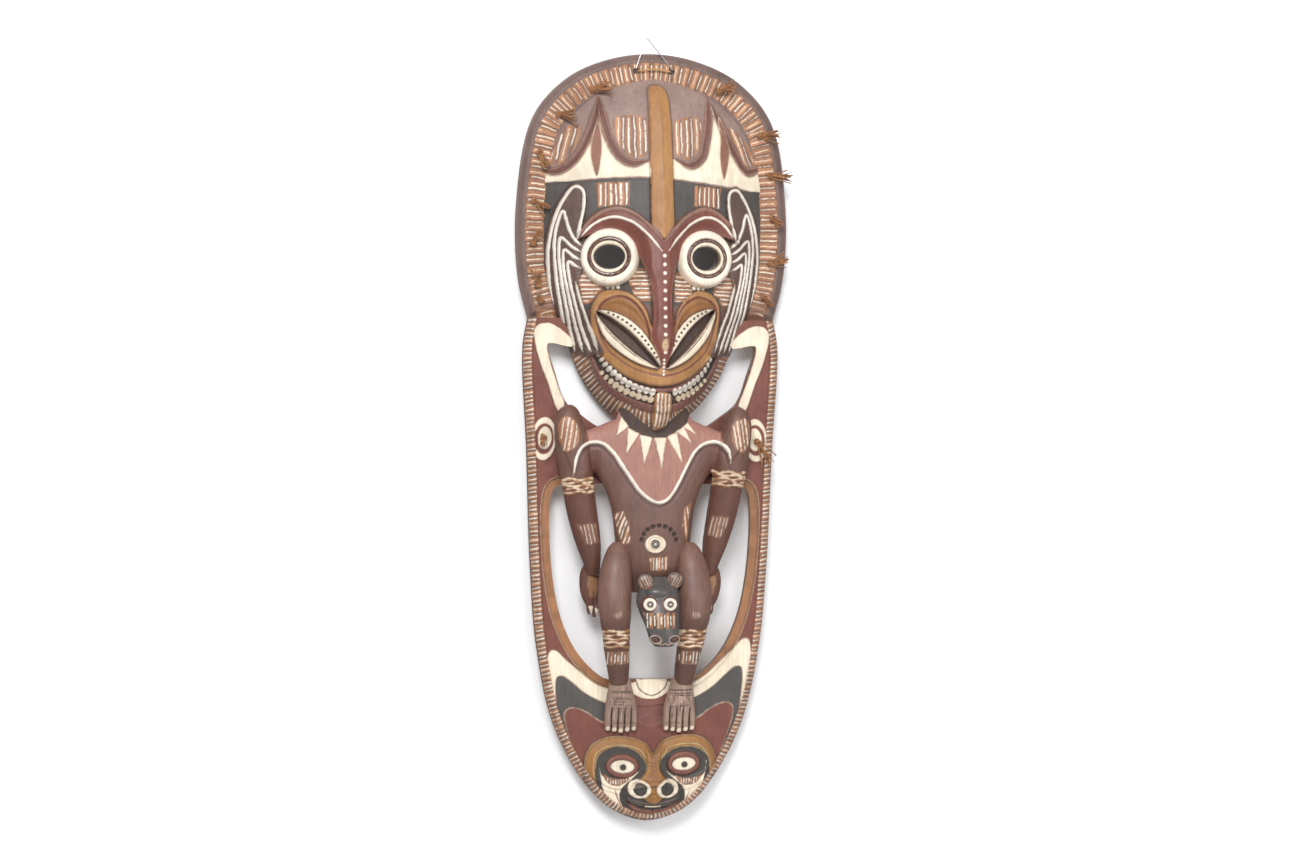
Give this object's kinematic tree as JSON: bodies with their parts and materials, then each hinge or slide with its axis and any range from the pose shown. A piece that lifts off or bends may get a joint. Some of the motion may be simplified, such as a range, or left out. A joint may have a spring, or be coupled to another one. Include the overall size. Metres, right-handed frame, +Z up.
{
  "type": "carved wall mask",
  "caption": "Tall carved and painted wooden wall mask: hollow spirit face, squatting figure in a pierced board, lower face, fibre tassels and wire hanger.",
  "frame": {"origin": "where a wall hook carries the hanger wire, at the underside of the wire's top bend", "axes": "+Z up the height of the mask, +Y into the wall, -Y the carved front, +X to the right as seen from the front"},
  "size_m": [0.3637, 0.104, 1.0143],
  "materials": {
    "painted_wood": "matt earth pigments on carved hardwood",
    "cane": "split cane, satin",
    "steel_wire": "plain drawn wire",
    "paste_inlay": "glossy dark paste with shell chips",
    "shell": "polished shell",
    "coir": "frayed coconut fibre"
  },
  "bodies": {
    "board": {"carving": "painted_wood", "cane_strip": "cane", "eye_inlay_left": "paste_inlay", "eye_inlay_right": "paste_inlay", "animal_eye_left": "shell", "animal_eye_right": "shell", "nostril_inlay_left": "paste_inlay", "nostril_inlay_right": "paste_inlay", "navel_inlay": "shell"},
    "hanger": {"hanger_wire": "steel_wire"},
    "tassel_01": {"tassel_01": "coir"},
    "tassel_02": {"tassel_02": "coir"},
    "tassel_03": {"tassel_03": "coir"},
    "tassel_04": {"tassel_04": "coir"},
    "tassel_05": {"tassel_05": "coir"},
    "tassel_06": {"tassel_06": "coir"},
    "tassel_07": {"tassel_07": "coir"},
    "tassel_08": {"tassel_08": "coir"},
    "tassel_09": {"tassel_09": "coir"},
    "tassel_10": {"tassel_10": "coir"},
    "tassel_11": {"tassel_11": "coir"},
    "tassel_12": {"tassel_12": "coir"},
    "tassel_13": {"tassel_13": "coir"},
    "tassel_14": {"tassel_14": "coir"},
    "tassel_15": {"tassel_15": "coir"}
  },
  "joints": [
    {"name": "hanger_swing", "type": "hinge", "parent": "board", "child": "hanger", "pos_m": [0.01, 0.004, -0.0412], "axis": [1, 0, 0], "range_deg": [0, 42]},
    {"name": "tassel_01_swivel", "type": "hinge", "parent": "board", "child": "tassel_01", "pos_m": [-0.07, 0, -0.067], "axis": [0, -1, 0], "range_deg": [-20, 20]},
    {"name": "tassel_02_swivel", "type": "hinge", "parent": "board", "child": "tassel_02", "pos_m": [-0.115, 0, -0.101], "axis": [0, -1, 0], "range_deg": [-20, 20]},
    {"name": "tassel_03_swivel", "type": "hinge", "parent": "board", "child": "tassel_03", "pos_m": [-0.139, 0, -0.15], "axis": [0, -1, 0], "range_deg": [-20, 20]},
    {"name": "tassel_04_swivel", "type": "hinge", "parent": "board", "child": "tassel_04", "pos_m": [-0.146, 0, -0.212], "axis": [0, -1, 0], "range_deg": [-20, 20]},
    {"name": "tassel_05_swivel", "type": "hinge", "parent": "board", "child": "tassel_05", "pos_m": [-0.146, 0, -0.268], "axis": [0, -1, 0], "range_deg": [-20, 20]},
    {"name": "tassel_06_swivel", "type": "hinge", "parent": "board", "child": "tassel_06", "pos_m": [-0.139, 0, -0.322], "axis": [0, -1, 0], "range_deg": [-20, 20]},
    {"name": "tassel_07_swivel", "type": "hinge", "parent": "board", "child": "tassel_07", "pos_m": [-0.135, 0, -0.341], "axis": [0, -1, 0], "range_deg": [-20, 20]},
    {"name": "tassel_08_swivel", "type": "hinge", "parent": "board", "child": "tassel_08", "pos_m": [0.094, 0, -0.065], "axis": [0, -1, 0], "range_deg": [-20, 20]},
    {"name": "tassel_09_swivel", "type": "hinge", "parent": "board", "child": "tassel_09", "pos_m": [0.15, 0, -0.121], "axis": [0, -1, 0], "range_deg": [-20, 20]},
    {"name": "tassel_10_swivel", "type": "hinge", "parent": "board", "child": "tassel_10", "pos_m": [0.164, 0, -0.173], "axis": [0, -1, 0], "range_deg": [-20, 20]},
    {"name": "tassel_11_swivel", "type": "hinge", "parent": "board", "child": "tassel_11", "pos_m": [0.167, 0, -0.228], "axis": [0, -1, 0], "range_deg": [-20, 20]},
    {"name": "tassel_12_swivel", "type": "hinge", "parent": "board", "child": "tassel_12", "pos_m": [0.166, 0, -0.289], "axis": [0, -1, 0], "range_deg": [-20, 20]},
    {"name": "tassel_13_swivel", "type": "hinge", "parent": "board", "child": "tassel_13", "pos_m": [0.157, 0, -0.331], "axis": [0, -1, 0], "range_deg": [-20, 20]},
    {"name": "tassel_14_swivel", "type": "hinge", "parent": "board", "child": "tassel_14", "pos_m": [-0.131, 0, -0.517], "axis": [0, -1, 0], "range_deg": [-20, 20]},
    {"name": "tassel_15_swivel", "type": "hinge", "parent": "board", "child": "tassel_15", "pos_m": [0.148, 0, -0.52], "axis": [0, -1, 0], "range_deg": [-20, 20]}
  ]
}
